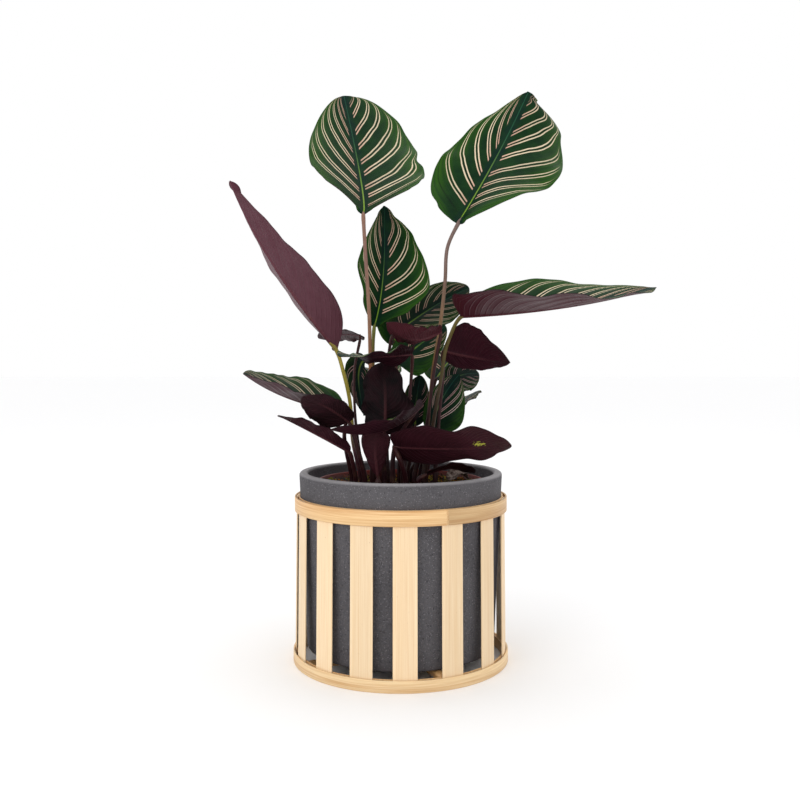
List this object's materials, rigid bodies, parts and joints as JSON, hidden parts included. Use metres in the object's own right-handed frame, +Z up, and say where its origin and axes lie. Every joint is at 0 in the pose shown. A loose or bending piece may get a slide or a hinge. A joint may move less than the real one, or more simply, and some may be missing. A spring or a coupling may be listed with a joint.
{
  "type": "potted pinstripe calathea",
  "caption": "Potted tropical foliage plant with pinstriped leaves on slim stems, in a round speckled grey planter set in an open slatted bamboo basket.",
  "frame": {"origin": "on the surface the basket stands on, under the middle of the planter, at the underside of the lower base bar", "axes": "+Z up along the planter's axis, +X to the right and -Y to the front, the side the plant is seen from"},
  "size_m": [0.3522, 0.2272, 0.5103],
  "materials": {
    "bamboo_strip": "satin",
    "bamboo_slat": "satin",
    "planter": "matte, finely speckled",
    "grow_pot": "satin",
    "soil": "matte",
    "leaf_green": "satin",
    "leaf_purple": "satin",
    "dry_leaf": "matte"
  },
  "bodies": {
    "root": {"top_hoop_outer": "bamboo_strip", "top_hoop_inner": "bamboo_strip", "bottom_hoop_outer": "bamboo_strip", "bottom_hoop_inner": "bamboo_strip", "slat_01": "bamboo_slat", "slat_02": "bamboo_slat", "slat_03": "bamboo_slat", "slat_04": "bamboo_slat", "slat_05": "bamboo_slat", "slat_06": "bamboo_slat", "slat_07": "bamboo_slat", "slat_08": "bamboo_slat", "slat_09": "bamboo_slat", "slat_10": "bamboo_slat", "slat_11": "bamboo_slat", "slat_12": "bamboo_slat", "slat_13": "bamboo_slat", "slat_14": "bamboo_slat", "slat_15": "bamboo_slat", "base_bar_lower": "bamboo_strip", "base_bar_upper": "bamboo_strip", "planter": "planter", "grow_pot": "grow_pot", "soil": "soil", "leaf_top_left": "leaf_green", "leaf_top_right": "leaf_green", "leaf_middle": "leaf_green", "leaf_high_left": "leaf_purple", "leaf_long_right": "leaf_green", "leaf_low_left": "leaf_green", "leaf_lobe_left": "leaf_purple", "leaf_narrow_left": "leaf_purple", "leaf_front_droop": "leaf_purple", "leaf_low_right": "leaf_purple", "leaf_mid_right": "leaf_purple", "leaf_behind_middle": "leaf_green", "leaf_crimson": "leaf_purple", "leaf_dark_front": "leaf_purple", "leaf_narrow_behind": "leaf_purple", "leaf_hanging": "leaf_green", "leaf_striped_centre": "leaf_green", "leaf_upright_right": "leaf_green", "leaf_behind_right": "leaf_green", "leaf_small_behind": "leaf_purple", "leaf_core_small": "leaf_green", "leaf_core_dark": "leaf_purple", "leaf_low_dark": "leaf_purple", "leaf_back_tall": "leaf_green", "leaf_back_right": "leaf_green", "leaf_back_middle": "leaf_green", "leaf_back_low": "leaf_green", "leaf_young_sheath": "leaf_purple", "leaf_dry": "dry_leaf"}
  },
  "joints": []
}
